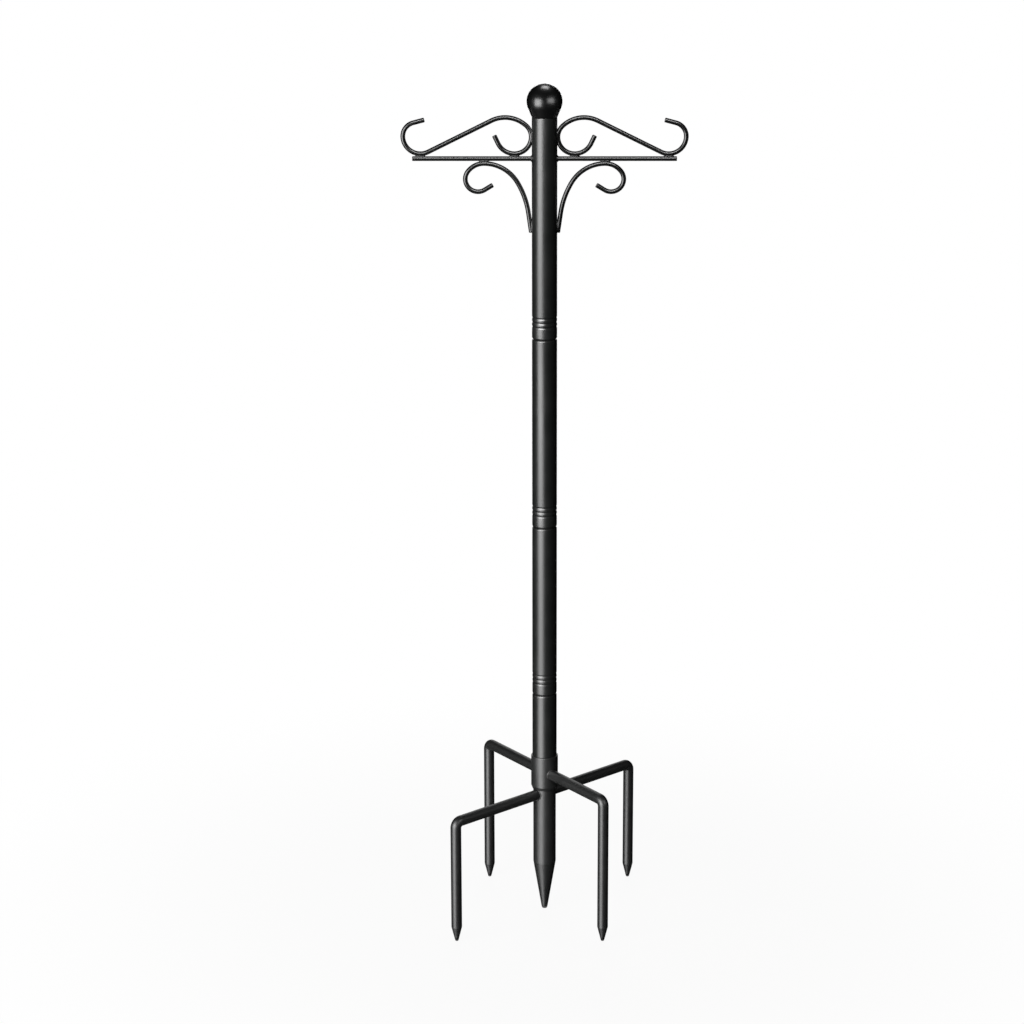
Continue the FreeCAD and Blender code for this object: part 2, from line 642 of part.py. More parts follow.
# Every feature has to be sound before anything is written
doc.recompute()
for feature in doc.Objects:
    if "Invalid" in feature.State or "Error" in feature.State:
        raise RuntimeError(f"{feature.Label} failed: {feature.State}")
for body in sub_parts:
    shape = body.Shape
    if shape.isNull() or not shape.isValid() or len(shape.Solids) != 1:
        raise RuntimeError(f"{body.Label} is not one sound solid")

os.makedirs("parts", exist_ok=True)
for body in sub_parts:
    body.Shape.exportStep(f"parts/{body.Label}.step")
    print(f"{body.Label}: {body.Shape.Volume:.0f} mm3")
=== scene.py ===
# %% [markdown]
# # A bird feeder pole
#
# The real pole is a kit in black powder-coated steel. Four tubes push together, the top one carries two
# arms of bent rod and a gloss ball, and the lowest one stands in a collar on a ground spike with four bent
# prongs. Every piece below is then made in that frame, in metres, so that it lands on the solid it stands
# for with no fitting.

# %% Load the frame
import math

import bpy
from mathutils import Matrix, Vector


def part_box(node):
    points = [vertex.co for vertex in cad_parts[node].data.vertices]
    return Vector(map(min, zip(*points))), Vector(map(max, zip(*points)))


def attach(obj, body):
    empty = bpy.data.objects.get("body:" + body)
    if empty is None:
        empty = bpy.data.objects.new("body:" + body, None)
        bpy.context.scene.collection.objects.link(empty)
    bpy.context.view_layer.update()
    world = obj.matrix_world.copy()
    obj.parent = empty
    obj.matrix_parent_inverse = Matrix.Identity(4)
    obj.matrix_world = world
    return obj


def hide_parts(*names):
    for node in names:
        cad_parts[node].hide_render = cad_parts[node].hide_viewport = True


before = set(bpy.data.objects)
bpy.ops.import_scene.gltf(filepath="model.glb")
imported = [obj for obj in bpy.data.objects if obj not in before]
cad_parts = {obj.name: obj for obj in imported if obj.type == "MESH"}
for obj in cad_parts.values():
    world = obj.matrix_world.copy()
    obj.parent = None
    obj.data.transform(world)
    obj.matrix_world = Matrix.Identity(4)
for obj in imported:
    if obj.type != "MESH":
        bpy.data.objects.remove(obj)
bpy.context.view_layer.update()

MM = 0.001
scene = bpy.context.scene
scene.view_settings.view_transform = "Standard"

# %% [markdown]
# ## The camera
#
# The legs behind stand higher in the picture than the legs in front, so the camera looks down, by about 15
# degrees, and the pole's sides stay nearly parallel, so the lens is long. Blender's camera looks down its
# own -Z, so a turn of 90 degrees about X would make it level. The pole stands right of the middle of the
# picture, and a small shift of the lens puts it there without turning the camera.

# %% Camera
camera = bpy.data.objects.new("camera", bpy.data.cameras.new("camera"))
scene.collection.objects.link(camera)
scene.camera = camera
camera.location = (0, -3.3618, 1.4854)
camera.rotation_euler = (math.radians(74.5), 0, 0)
camera.data.sensor_width = 36
camera.data.lens = 94.85
camera.data.shift_x = -0.03179
print("camera looks down by", round(90 - math.degrees(camera.rotation_euler.x), 2), "degrees")

# %% [markdown]
# ## Nodes and colours
#
# Shaders and geometry are both trees of nodes here, so one small function adds a node with its settings,
# plain values and links. Colours are written as the hex values of a paint chart. Blender computes in linear
# light, so one function turns the one into the other.

# %% A node, and a colour


def add(tree, kind, links=(), values=(), **settings):
    """Add a node. Links and values are keyed by the name or the number of one of its inputs."""
    node = tree.nodes.new(kind)
    for name, setting in settings.items():
        setattr(node, name, setting)
    for socket, value in dict(values).items():
        node.inputs[socket].default_value = value
    for socket, source in dict(links).items():
        tree.links.new(source, node.inputs[socket])
    return node


def paint(hex_code):
    """An sRGB hex value as linear red, green, blue and alpha."""
    channels = [int(hex_code[place:place + 2], 16) / 255 for place in (1, 3, 5)]
    linear = [c / 12.92 if c <= 0.04045 else ((c + 0.055) / 1.055) ** 2.4 for c in channels]
    return (*linear, 1.0)


print("mid grey in linear light:", round(paint("#808080")[0], 3))

# %% [markdown]
# ## The white room
#
# The background is white paper. The world is white at a strength of 1 for the rays that look at it, and a
# soft grey for the light that it gives, so that a brighter background never means more light on the pole. A
# pale floor takes the soft shadow at the foot of the prongs and runs out into the same white.

# %% World
AMBIENT = 0.22


def rays_that_look(tree):
    """A node that gives 1 to rays from the camera, from a mirror or through glass, and 0 to all others."""
    ray = add(tree, "ShaderNodeLightPath")
    direct = add(tree, "ShaderNodeMath", {0: ray.outputs["Is Camera Ray"], 1: ray.outputs["Is Glossy Ray"]},
                 operation="MAXIMUM")
    return add(tree, "ShaderNodeMath", {0: direct.outputs[0], 1: ray.outputs["Is Transmission Ray"]},
               operation="MAXIMUM")


world = bpy.data.worlds.new("white_room")
scene.world = world
world.use_nodes = True
tree = world.node_tree
tree.nodes.clear()
looked_at = rays_that_look(tree)
ambient = add(tree, "ShaderNodeBackground", values={"Color": paint("#FFFFFF"), "Strength": AMBIENT})
paper = add(tree, "ShaderNodeBackground", values={"Color": paint("#FFFFFF"), "Strength": 1.0})
shown = add(tree, "ShaderNodeMixShader", {"Fac": looked_at.outputs[0], 1: ambient.outputs[0],
                                          2: paper.outputs[0]})
add(tree, "ShaderNodeOutputWorld", {"Surface": shown.outputs[0]})
print("ambient light:", AMBIENT)

# %% Floor
FLOOR_RADIUS = 4.0
PAPER_FROM, PAPER_FULL = 0.25, 0.95    # distances from the pole between which the floor turns to white
PAPER_LEAST = 0.93    # share of white beside the pole, where the shadow lies

floor_mesh = bpy.data.meshes.new("floor")
corners = [(FLOOR_RADIUS * x, FLOOR_RADIUS * y, 0) for x, y in ((-1, -1), (1, -1), (1, 1), (-1, 1))]
floor_mesh.from_pydata(corners, [], [(0, 1, 2, 3)])
floor = bpy.data.objects.new("floor", floor_mesh)
scene.collection.objects.link(floor)

floor_paper = bpy.data.materials.new("floor_paper")
floor_paper.use_nodes = True
tree = floor_paper.node_tree
tree.nodes.clear()
looked_at = rays_that_look(tree)
place = add(tree, "ShaderNodeTexCoord")
distance = add(tree, "ShaderNodeVectorMath", {0: place.outputs["Object"]}, operation="LENGTH")
fade = add(tree, "ShaderNodeMapRange", {"Value": distance.outputs["Value"]},
           {"From Min": PAPER_FROM, "From Max": PAPER_FULL, "To Min": PAPER_LEAST, "To Max": 1.0},
           interpolation_type="SMOOTHSTEP")
share = add(tree, "ShaderNodeMath", {0: looked_at.outputs[0], 1: fade.outputs[0]}, operation="MULTIPLY")
matt = add(tree, "ShaderNodeBsdfDiffuse", values={"Color": paint("#E6E6E4")})
white = add(tree, "ShaderNodeEmission", values={"Color": paint("#FFFFFF"), "Strength": 1.0})
shown = add(tree, "ShaderNodeMixShader", {"Fac": share.outputs[0], 1: matt.outputs[0], 2: white.outputs[0]})
add(tree, "ShaderNodeOutputMaterial", {"Surface": shown.outputs[0]})
floor_mesh.materials.append(floor_paper)
print("floor:", 2 * FLOOR_RADIUS, "m wide")

# %% [markdown]
# ## Soft boxes and black flags
#
# A black gloss surface shows its shape only by what it mirrors. In the picture the ball mirrors three soft
# boxes: a tall key to the left of the camera, a fill to the right, and one overhead, behind the pole. The
# camera looks down, so the upright tubes mirror what is low, and a low, near key carries the bright stripe
# down to the collar. A high rim box lights rims and grooves, and a long strip high in front draws the line
# along the rods. Two boxes stand straight behind, the weaker one for the rods. All else that the pole
# mirrors is black, so a photographer's black flags stand round it. They are hidden from the camera, which
# sees the white paper.

# %% Soft boxes
BALL_HEIGHT = 1.08


def area_lamp(name, width, height, radiance, spread=180):
    """A rectangle of light with a given brightness of its face.

    A narrow spread brightens it, which is undone here.
    """
    lamp = bpy.data.lights.new(name, "AREA")
    lamp.shape = "RECTANGLE"
    lamp.size, lamp.size_y = width, height
    lamp.energy = radiance * math.pi * width * height
    if spread < 180:
        half = math.radians(spread / 2)
        lamp.spread = 2 * half
        lamp.energy *= 1 - half / math.tan(half)
    box = bpy.data.objects.new(name, lamp)
    scene.collection.objects.link(box)
    print(name, "power", round(lamp.energy, 1), "W")
    return box


def soft_box(name, bearing, distance, width, low, high, radiance, spread=180):
    """An upright box of light. The bearing is in degrees to the right of the way from pole to camera."""
    box = area_lamp(name, width, high - low, radiance, spread)
    angle = math.radians(bearing)
    box.location = (distance * math.sin(angle), -distance * math.cos(angle), (low + high) / 2)
    box.rotation_euler = (math.radians(90), 0, angle)
    return box


soft_box("key_box", bearing=-43, distance=1.6, width=1.25, low=0.35, high=1.55, radiance=3.8)
low_key_box = soft_box("low_key_box", bearing=-36, distance=0.60, width=0.60, low=0.0, high=0.62,
                       radiance=4.5, spread=80)
fill_box = soft_box("fill_box", bearing=42, distance=1.6, width=1.2, low=0.95, high=1.75, radiance=1.9)
rim_box = soft_box("rim_box", bearing=-32, distance=1.4, width=1.3, low=1.25, high=2.2, radiance=9.0)
back_place = {"bearing": 180, "distance": 1.8, "width": 1.0, "low": 0.0, "high": 1.9}
back_box = soft_box("back_box", **back_place, radiance=2.6)
rod_back_box = soft_box("rod_back_box", **back_place, radiance=0.8)


def high_box(name, direction, distance, width, height, radiance):
    """A box of light that faces the ball from a direction above it."""
    box = area_lamp(name, width, height, radiance)
    outward = Vector(direction).normalized()
    box.location = Vector((0, 0, BALL_HEIGHT)) + distance * outward
    box.rotation_euler = outward.to_track_quat("Z", "Y").to_euler()
    return box


overhead_box = high_box("overhead_box", direction=(0.05, 0.27, 0.96), distance=1.25,
                        width=0.6, height=0.5, radiance=3.8)
rod_box = high_box("rod_box", direction=(0.0, -0.80, 0.59), distance=1.6,
                   width=1.5, height=0.4, radiance=8.0)

# %% [markdown]
# The legs and the spike mirror the floor just in front of them, where no upright box can stand. A panel of
# light lies there under a grid of slanted slats. Light leaves such a grid along the slats only, so each leg
# gets one narrow stripe, and the arms above don't mirror the panel at all.

# %% Floor panel
PANEL_SIZE = 0.8
PANEL_BEARING = math.radians(-41)
SLAT_RISE = math.radians(23)
SLATS_OPEN, SLATS_SHUT = 0.01, 0.13    # 1 less the cosine of the angle to the slats

panel = area_lamp("floor_panel", PANEL_SIZE, PANEL_SIZE, 3.0)
panel.location = (-0.14, -0.15, 0.004)
panel.rotation_euler = (math.pi, 0, PANEL_BEARING)
panel.data.use_nodes = True
tree = panel.data.node_tree
slats = add(tree, "ShaderNodeCombineXYZ", values={
    "X": -math.sin(PANEL_BEARING) * math.cos(SLAT_RISE),
    "Y": math.cos(PANEL_BEARING) * math.cos(SLAT_RISE),
    "Z": math.sin(SLAT_RISE)})
slant = add(tree, "ShaderNodeLayerWeight", {"Normal": slats.outputs[0]})
grid = add(tree, "ShaderNodeMapRange", {"Value": slant.outputs["Facing"]},
           {"From Min": SLATS_SHUT, "From Max": SLATS_OPEN}, interpolation_type="SMOOTHSTEP")
tree.links.new(grid.outputs[0], tree.nodes["Emission"].inputs["Strength"])
print("floor panel:", PANEL_SIZE, "m wide, slats at", round(math.degrees(SLAT_RISE)), "degrees")

# %% Black flags
FLAG_SIDES = 48
FLAG_RADIUS, FLAG_FOOT, FLAG_TOP = 3.9, 0.002, 3.6
FLOOR_HOLE, ROOF_HOLE = 0.005, 0.02


def ring(radius, height):
    """Points round the pole's axis."""
    turns = [2 * math.pi * side / FLAG_SIDES for side in range(FLAG_SIDES)]
    return [(radius * math.cos(turn), radius * math.sin(turn), height) for turn in turns]


flag_mesh = bpy.data.meshes.new("black_flags")
flag_rings = ((FLOOR_HOLE, FLAG_FOOT), (FLAG_RADIUS, FLAG_FOOT),
              (FLAG_RADIUS, FLAG_TOP), (ROOF_HOLE, FLAG_TOP))
points = [point for radius, height in flag_rings for point in ring(radius, height)]
walls = []
for band in range(len(flag_rings) - 1):
    for side in range(FLAG_SIDES):
        following = (side + 1) % FLAG_SIDES
        near, far = band * FLAG_SIDES, (band + 1) * FLAG_SIDES
        walls.append((near + side, near + following, far + following, far + side))
flag_mesh.from_pydata(points, [], walls)
black_flags = bpy.data.objects.new("black_flags", flag_mesh)
scene.collection.objects.link(black_flags)
for kind in ("camera", "diffuse", "transmission", "shadow"):
    setattr(black_flags, f"visible_{kind}", False)
black_cloth = bpy.data.materials.new("black_cloth")
black_cloth.use_nodes = True
shader = black_cloth.node_tree.nodes["Principled BSDF"]
shader.inputs["Base Color"].default_value = paint("#0A0A0A")
shader.inputs["Specular IOR Level"].default_value = 0.0
flag_mesh.materials.append(black_cloth)
print("flags:", len(walls), "panels")

# %% [markdown]
# ## Powder coat
#
# Powder coat is polyester dust, charged, blown on and baked until it flows. It gives the eye an even black
# with a soft sheen, a skin with the faint dimples of orange peel, and slightly thicker and thinner clouds.
# One function makes the coats, because the tubes, the rods and the ground base differ only in tone and
# sheen. An orange peel that is right on a broad tube would make a thin rod glitter, so its depth is given
# for each.

# %% Powder coats
CLOUD_SIZE = 22 * MM
PEEL_SIZE = 1.6 * MM
COAT_IOR = 1.65
NOISE_LOW, NOISE_HIGH = 0.3, 0.7    # most of a noise lies between these
SMOOTHER, ROUGHER = 0.02, 0.03    # how far the clouds move the roughness


def powder_coat(name, colour, pale_colour, roughness, peel_depth):
    """A baked polyester coat, with clouds in its tone and sheen and orange peel in its skin."""
    coat = bpy.data.materials.new(name)
    coat.use_nodes = True
    tree = coat.node_tree
    shader = tree.nodes["Principled BSDF"]
    place = add(tree, "ShaderNodeTexCoord")
    cloud = add(tree, "ShaderNodeTexNoise", {"Vector": place.outputs["Object"]},
                {"Scale": 1 / CLOUD_SIZE, "Detail": 3.0})
    tone = add(tree, "ShaderNodeMix", {0: cloud.outputs["Fac"]},
               {6: paint(colour), 7: paint(pale_colour)}, data_type="RGBA")
    sheen = add(tree, "ShaderNodeMapRange", {"Value": cloud.outputs["Fac"]},
                {"From Min": NOISE_LOW, "From Max": NOISE_HIGH,
                 "To Min": roughness - SMOOTHER, "To Max": roughness + ROUGHER})
    peel = add(tree, "ShaderNodeTexNoise", {"Vector": place.outputs["Object"]},
               {"Scale": 1 / PEEL_SIZE, "Detail": 2.0})
    skin = add(tree, "ShaderNodeBump", {"Height": peel.outputs["Fac"]},
               {"Strength": 1.0, "Distance": peel_depth})
    tree.links.new(tone.outputs[2], shader.inputs["Base Color"])
    tree.links.new(sheen.outputs[0], shader.inputs["Roughness"])
    tree.links.new(skin.outputs[0], shader.inputs["Normal"])
    shader.inputs["IOR"].default_value = COAT_IOR
    shader.inputs["Specular IOR Level"].default_value = 1.0
    return coat


tube_coat = powder_coat("satin_black_powder_coat", "#0E100F", "#141615",
                        roughness=0.34, peel_depth=0.007 * MM)
rod_coat = powder_coat("satin_black_rod_coat", "#0C0D0D", "#121313",
                       roughness=0.26, peel_depth=0.001 * MM)
base_coat = powder_coat("matt_black_powder_coat", "#131414", "#1A1B1B",
                        roughness=0.42, peel_depth=0.008 * MM)
print("coats:", tube_coat.name, rod_coat.name, base_coat.name)

# %% [markdown]
# ## Gloss ball, plated couplers and nylon bushes
#
# The ball is moulded in a polished mould and lacquered, so it mirrors the soft boxes with only slightly
# blurred edges. The couplers inside the tubes are turned steel with zinc plating, a pale metal with the
# fine rings that the cutting tool left, and they show when a joint is pulled apart. The bushes that guide
# them are moulded nylon, which is dull and a little grainy.

# %% Lacquered ball
FLOW_SIZE = 30 * MM

ball_gloss = bpy.data.materials.new("gloss_black_lacquer")
ball_gloss.use_nodes = True
tree = ball_gloss.node_tree
shader = tree.nodes["Principled BSDF"]
place = add(tree, "ShaderNodeTexCoord")
flow = add(tree, "ShaderNodeTexNoise", {"Vector": place.outputs["Object"]},
           {"Scale": 1 / FLOW_SIZE, "Detail": 2.0})
tone = add(tree, "ShaderNodeMix", {0: flow.outputs["Fac"]},
           {6: paint("#060707"), 7: paint("#0B0C0C")}, data_type="RGBA")
sheen = add(tree, "ShaderNodeMapRange", {"Value": flow.outputs["Fac"]},
            {"From Min": NOISE_LOW, "From Max": NOISE_HIGH, "To Min": 0.30, "To Max": 0.34})
tree.links.new(tone.outputs[2], shader.inputs["Base Color"])
tree.links.new(sheen.outputs[0], shader.inputs["Roughness"])
for socket, value in {"IOR": 1.5, "Specular IOR Level": 1.0, "Coat Weight": 1.0, "Coat Roughness": 0.26,
                      "Coat IOR": 1.6}.items():
    shader.inputs[socket].default_value = value
print("lacquer:", ball_gloss.name)

# %% Zinc plating
TOOL_PITCH = 0.8 * MM    # real feed marks are a third of this, too fine to show
TOOL_DEPTH = 0.01 * MM
WAVE_PERIOD = math.pi / 10    # length of one band of the wave texture at a scale of 1

zinc_plate = bpy.data.materials.new("zinc_plated_turned_steel")
zinc_plate.use_nodes = True
tree = zinc_plate.node_tree
shader = tree.nodes["Principled BSDF"]
place = add(tree, "ShaderNodeTexCoord")
rings = add(tree, "ShaderNodeTexWave", {"Vector": place.outputs["Object"]},
            {"Scale": WAVE_PERIOD / TOOL_PITCH, "Distortion": 0.6, "Detail": 1.0}, bands_direction="Z")
cloud = add(tree, "ShaderNodeTexNoise", {"Vector": place.outputs["Object"]}, {"Scale": 1 / CLOUD_SIZE})
tone = add(tree, "ShaderNodeMix", {0: cloud.outputs["Fac"]},
           {6: paint("#A9ADB1"), 7: paint("#C2C4C3")}, data_type="RGBA")
sheen = add(tree, "ShaderNodeMapRange", {"Value": rings.outputs["Fac"]}, {"To Min": 0.26, "To Max": 0.38})
turning = add(tree, "ShaderNodeBump", {"Height": rings.outputs["Fac"]},
              {"Strength": 1.0, "Distance": TOOL_DEPTH})
tree.links.new(tone.outputs[2], shader.inputs["Base Color"])
tree.links.new(sheen.outputs[0], shader.inputs["Roughness"])
tree.links.new(turning.outputs[0], shader.inputs["Normal"])
shader.inputs["Metallic"].default_value = 1.0
print("plating:", zinc_plate.name, "scale", round(WAVE_PERIOD / TOOL_PITCH))

# %% Nylon
GRAIN_SIZE, GRAIN_DEPTH = 0.7 * MM, 0.008 * MM

nylon = bpy.data.materials.new("black_moulded_nylon")
nylon.use_nodes = True
tree = nylon.node_tree
shader = tree.nodes["Principled BSDF"]
place = add(tree, "ShaderNodeTexCoord")
grain = add(tree, "ShaderNodeTexNoise", {"Vector": place.outputs["Object"]},
            {"Scale": 1 / GRAIN_SIZE, "Detail": 2.0})
tone = add(tree, "ShaderNodeMix", {0: grain.outputs["Fac"]},
           {6: paint("#101011"), 7: paint("#19191A")}, data_type="RGBA")
sheen = add(tree, "ShaderNodeMapRange", {"Value": grain.outputs["Fac"]}, {"To Min": 0.45, "To Max": 0.6})
moulding = add(tree, "ShaderNodeBump", {"Height": grain.outputs["Fac"]},
               {"Strength": 1.0, "Distance": GRAIN_DEPTH})
tree.links.new(tone.outputs[2], shader.inputs["Base Color"])
tree.links.new(sheen.outputs[0], shader.inputs["Roughness"])
tree.links.new(moulding.outputs[0], shader.inputs["Normal"])
shader.inputs["IOR"].default_value = 1.53
print("nylon:", nylon.name)

# %% [markdown]
# ## Turned shapes
#
# The tubes, the collar, the spike and the ball are round about the pole's axis. Each is half a section,
# turned. The Screw modifier could turn it, but it leaves a seam to merge, so a function writes the rings
# itself and closes them. No edge on a coated pole is sharp, so every corner of a section has a radius, and
# an arc there catches the light as the real edge does. A point just outside each arc keeps the flat stretch
# beside it flat in smooth shading.

# %% Rounded corners
ARC_STEPS = 6
GUARD = 0.15    # how far outside an arc its guard point lies, in radii of the arc


def rounded(corners, closed=True):
    """Points along a line through corners (across, up, radius), with an arc of that radius in each corner."""
    points = []
    for index, (across, up, radius) in enumerate(corners):
        corner = Vector((across, up))
        at_end = not closed and index in (0, len(corners) - 1)
        if at_end or radius == 0:
            points.append(corner)
            continue
        back = (Vector(corners[index - 1][:2]) - corner).normalized()
        on = (Vector(corners[(index + 1) % len(corners)][:2]) - corner).normalized()
        half = back.angle(on) / 2
        reach = radius / math.tan(half)
        centre = corner + (back + on).normalized() * (radius / math.sin(half))
        first = (corner + back * reach - centre).normalized()
        last = (corner + on * reach - centre).normalized()
        points.append(corner + back * (reach + GUARD * radius))
        points += [centre + radius * first.slerp(last, step / ARC_STEPS) for step in range(ARC_STEPS + 1)]
        points.append(corner + on * (reach + GUARD * radius))
    return points


square = [(across, up, 0.1) for across, up in ((0, 0), (1, 0), (1, 1), (0, 1))]
print("points round one rounded square:", len(rounded(square)))

# %% Turned pieces
SEGMENTS = 96


def turned(name, section, finish, closed=True):
    """Turn a half section of (radius, height) points, counter-clockwise, about the pole's axis.

    A closed section makes a ring. An open one starts and ends on the axis.
    """
    points, rings = [], []
    turns = [2 * math.pi * segment / SEGMENTS for segment in range(SEGMENTS)]
    for index, (radius, height) in enumerate(section):
        on_axis = not closed and index in (0, len(section) - 1)
        if on_axis:
            places = [(0, 0, height)]
        else:
            places = [(radius * math.cos(turn), radius * math.sin(turn), height) for turn in turns]
        rings.append([len(points) + place for place in range(len(places))])
        points += places
    faces = []
    bands = zip(rings, rings[1:] + rings[:1]) if closed else zip(rings, rings[1:])
    for low, high in bands:
        for segment in range(SEGMENTS):
            here, there = segment, (segment + 1) % SEGMENTS
            face = [low[here % len(low)], low[there % len(low)],
                    high[there % len(high)], high[here % len(high)]]
            faces.append(tuple(dict.fromkeys(face)))
    mesh = bpy.data.meshes.new(name)
    mesh.from_pydata(points, [], faces)
    mesh.shade_smooth()
    mesh.materials.append(finish)
    piece = bpy.data.objects.new(name, mesh)
    scene.collection.objects.link(piece)
    return piece


def fit(piece, body, node):
    """Let a piece move with a body and stand for a solid, whose own mesh is hidden."""
    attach(piece, body)
    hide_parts(node)


print("segments round the pole:", SEGMENTS)

# %% [markdown]
# ## The four tubes
#
# Each tube is a straight length of steel tube whose mouth is rolled in over a round rim, so a joint shows
# as a soft valley. Three grooves rolled into the tube near its foot hold the coupler. A groove that is
# rolled has no edges: here it follows one wave of a cosine.

# %% Tubes
TUBE_WALL = 1.5 * MM
LIP_DEPTH, LIP_HEIGHT = 2.0 * MM, 4.0 * MM
MOUTH_GAP = 0.02 * MM    # so that two mouths that meet share no face
RIM_ROUND, CUT_ROUND = 2.5 * MM, 0.5 * MM
GROOVE_COUNT, GROOVE_PITCH, GROOVE_RISE = 3, 5.76 * MM, 16.0 * MM
GROOVE_DEPTH, GROOVE_WIDTH = 0.6 * MM, 4.4 * MM
GROOVE_STEPS = 16


def rolled_grooves(foot, radius):
    """The wavy stretch of a tube's outer wall, from the lowest groove up."""
    line = []
    for groove in range(GROOVE_COUNT):
        middle = foot + GROOVE_RISE + groove * GROOVE_PITCH
        for step in range(GROOVE_STEPS + 1):
            along = step / GROOVE_STEPS - 0.5
            depth = GROOVE_DEPTH * (1 + math.cos(2 * math.pi * along)) / 2
            line.append((radius - depth, middle + along * GROOVE_WIDTH, 0))
    return line


def pole_tube(node, body, lower_mouth, upper_mouth):
    """A tube that fills its solid's box, with rolled-in mouths where it has them."""
    low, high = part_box(node)
    radius, foot, top = high.x, low.z, high.z
    if lower_mouth:
        foot += MOUTH_GAP
    bore = radius - TUBE_WALL
    mouth = bore - LIP_DEPTH
    if lower_mouth:
        section = [(bore, foot + LIP_HEIGHT, CUT_ROUND), (mouth, foot + LIP_HEIGHT, CUT_ROUND),
                   (mouth, foot, CUT_ROUND), (radius, foot, RIM_ROUND), *rolled_grooves(foot, radius)]
    else:
        section = [(bore, foot, CUT_ROUND), (radius, foot, CUT_ROUND)]
    if upper_mouth:
        section += [(radius, top, RIM_ROUND), (mouth, top, CUT_ROUND), (mouth, top - LIP_HEIGHT, CUT_ROUND),
                    (bore, top - LIP_HEIGHT, CUT_ROUND)]
    else:
        section += [(radius, top, CUT_ROUND), (bore, top, CUT_ROUND)]
    tube = turned(f"coated_{node}", rounded(section), tube_coat)
    fit(tube, body, node)
    print(tube.name, "from", round(foot / MM, 1), "to", round(top / MM, 1), "mm")


pole_tube("lower_tube", "lower_section", False, True)
pole_tube("lower_mid_tube", "lower_mid_section", True, True)
pole_tube("upper_mid_tube", "upper_mid_section", True, True)
pole_tube("arm_tube", "arm_section", True, False)

# %% [markdown]
# ## Couplers, bushes and the base spigot
#
# A coupler is a turned plug held in the foot of a tube, with a slimmer spigot that drops into the tube
# below, where a nylon bush guides it. The lowest tube drops over a flanged spigot in the top of the spike.
# The boxes of the solids give their heights, and the steps between are the maker's.

# %% Couplers, bushes and base spigot
COUPLER_BORE = 8.0 * MM
LEAD_IN = 1.5 * MM
EDGE_ROUND = 0.4 * MM
SPIGOT_LENGTH = 34.0 * MM
SPIGOT_RADIUS = 12.42 * MM
BASE_PLUG_RADIUS, BASE_SPIGOT_RADIUS = 13.47 * MM, 14.42 * MM

for joint in ("lower_mid", "upper_mid", "arm"):
    node = f"{joint}_coupler"
    low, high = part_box(node)
    shoulder = low.z + SPIGOT_LENGTH + LIP_HEIGHT
    plug = turned(f"plated_{node}", rounded([
        (COUPLER_BORE, low.z, EDGE_ROUND), (SPIGOT_RADIUS - LEAD_IN, low.z, EDGE_ROUND),
        (SPIGOT_RADIUS, low.z + LEAD_IN, EDGE_ROUND), (SPIGOT_RADIUS, shoulder, EDGE_ROUND),
        (high.x, shoulder, EDGE_ROUND), (high.x, high.z, EDGE_ROUND), (COUPLER_BORE, high.z, EDGE_ROUND)]),
        zinc_plate)
    fit(plug, f"{joint}_section", node)

for section in ("lower", "lower_mid", "upper_mid"):
    node = f"{section}_socket_bush"
    low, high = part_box(node)
    inside = high.x - LIP_DEPTH
    bush = turned(f"moulded_{node}", rounded([
        (inside, low.z, EDGE_ROUND), (high.x, low.z, EDGE_ROUND), (high.x, high.z, EDGE_ROUND),
        (inside, high.z, EDGE_ROUND)]), nylon)
    fit(bush, f"{section}_section", node)

low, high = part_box("base_spigot")
spike_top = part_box("spike_tube")[1].z
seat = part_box("lower_tube")[0].z
base_plug = turned("plated_base_spigot", rounded([
    (COUPLER_BORE, low.z, EDGE_ROUND), (BASE_PLUG_RADIUS, low.z, EDGE_ROUND),
    (BASE_PLUG_RADIUS, spike_top, EDGE_ROUND), (high.x, spike_top, EDGE_ROUND),
    (high.x, seat, EDGE_ROUND), (BASE_SPIGOT_RADIUS, seat, EDGE_ROUND),
    (BASE_SPIGOT_RADIUS, high.z - LEAD_IN, EDGE_ROUND), (BASE_SPIGOT_RADIUS - LEAD_IN, high.z, EDGE_ROUND),
    (COUPLER_BORE, high.z, EDGE_ROUND)]), zinc_plate)
fit(base_plug, "base", "base_spigot")
print("spigot stands", round((high.z - seat) / MM, 1), "mm in the lowest tube")

# %% [markdown]
# ## Spike and collar
#
# The spike is a tube with a turned cone pressed into its foot. The collar above it turns on the spike and
# is bored wider at the top, where the pole stands in it. A broad bevel at its lower end clears the prongs.

# %% Spike and collar
SPIKE_WALL = 1.5 * MM
STEM_GAP = 0.03 * MM
TIP_RADIUS, TIP_ROUND = 3.5 * MM, 2.0 * MM
COLLAR_WALL, COLLAR_PLAY = 1.5 * MM, 0.08 * MM
BEVEL_DEPTH, BEVEL_HEIGHT, BEVEL_ROUND = 1.8 * MM, 4.5 * MM, 1.0 * MM
COLLAR_RIM_ROUND = 0.6 * MM
LEDGE_DROP = 0.3 * MM    # how far the ledge in the collar lies under the top of the spike

low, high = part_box("spike_tube")
spike_radius = high.x
spike_bore = spike_radius - SPIKE_WALL
spike = turned("coated_spike_tube", rounded([
    (spike_bore, low.z, EDGE_ROUND), (spike_radius, low.z, EDGE_ROUND), (spike_radius, high.z, EDGE_ROUND),
    (spike_bore, high.z, EDGE_ROUND)]), base_coat)
fit(spike, "base", "spike_tube")

cone_top = low.z
low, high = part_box("spike_tip")
stem_radius = spike_bore - STEM_GAP
tip = turned("coated_spike_tip", rounded([
    (0, low.z, 0), (TIP_RADIUS, low.z, TIP_ROUND), (spike_radius, cone_top, EDGE_ROUND),
    (stem_radius, cone_top, EDGE_ROUND), (stem_radius, high.z, EDGE_ROUND), (0, high.z, 0)], closed=False),
    base_coat, closed=False)
fit(tip, "base", "spike_tip")

